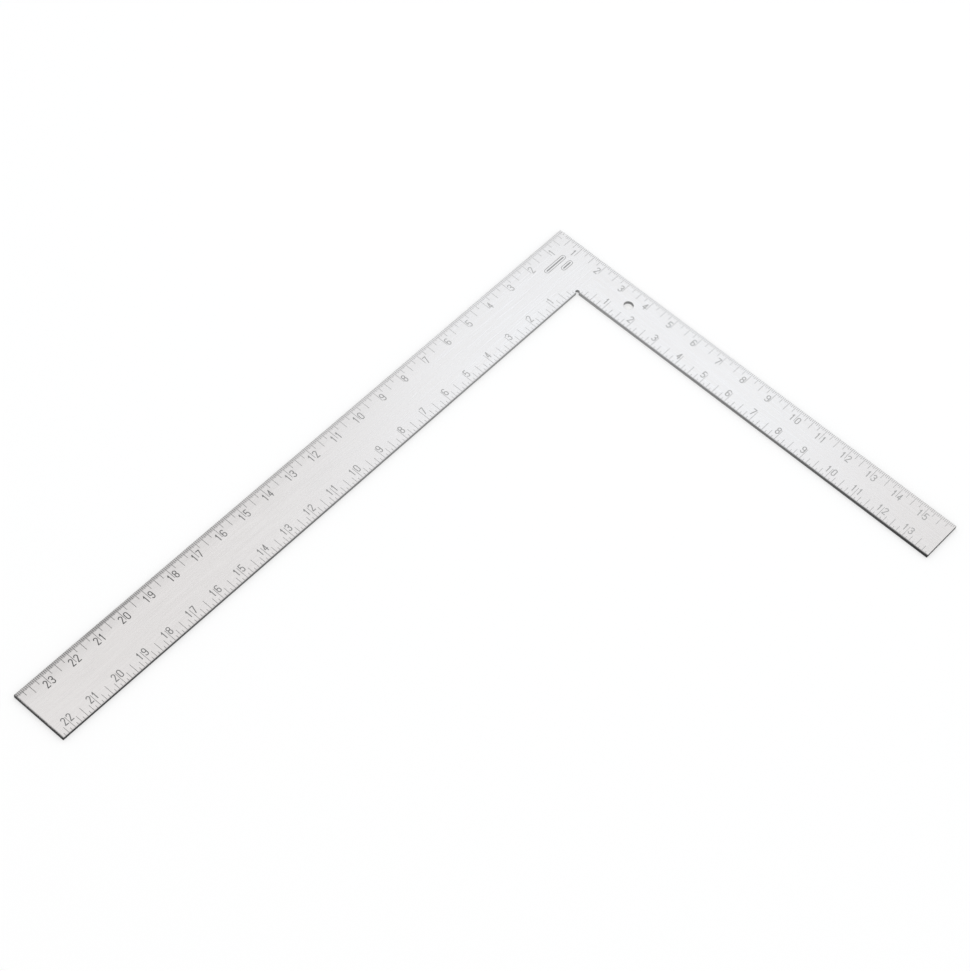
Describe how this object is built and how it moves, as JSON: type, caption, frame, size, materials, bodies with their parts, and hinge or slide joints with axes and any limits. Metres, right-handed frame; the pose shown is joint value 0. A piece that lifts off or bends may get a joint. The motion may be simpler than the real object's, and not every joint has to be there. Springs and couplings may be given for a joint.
{
  "type": "framing square",
  "caption": "Flat L-shaped steel square with engraved inch scales on all four working edges, a hang hole and a relieved inside corner, for measuring and squaring.",
  "frame": {"origin": "outer heel corner of the back face, where the outer edges of both arms meet; every outer scale is measured from it", "axes": "+X along the outer edge of the long arm (body), +Y along the outer edge of the short arm (tongue), +Z out of the graduated face"},
  "size_m": [0.6096, 0.4064, 0.0032],
  "materials": {
    "steel": "fine satin grain along each arm, bright, with dark ground edges",
    "scale_paint": "matte dark grey paint wiped into the engraved lines and numerals"
  },
  "bodies": {
    "root": {"blade": "steel", "body_outer_lines": "scale_paint", "body_outer_numerals": "scale_paint", "body_inner_lines": "scale_paint", "body_inner_numerals": "scale_paint", "tongue_outer_lines": "scale_paint", "tongue_outer_numerals": "scale_paint", "tongue_inner_lines": "scale_paint", "tongue_inner_numerals": "scale_paint", "heel_mark": "scale_paint"}
  },
  "joints": []
}
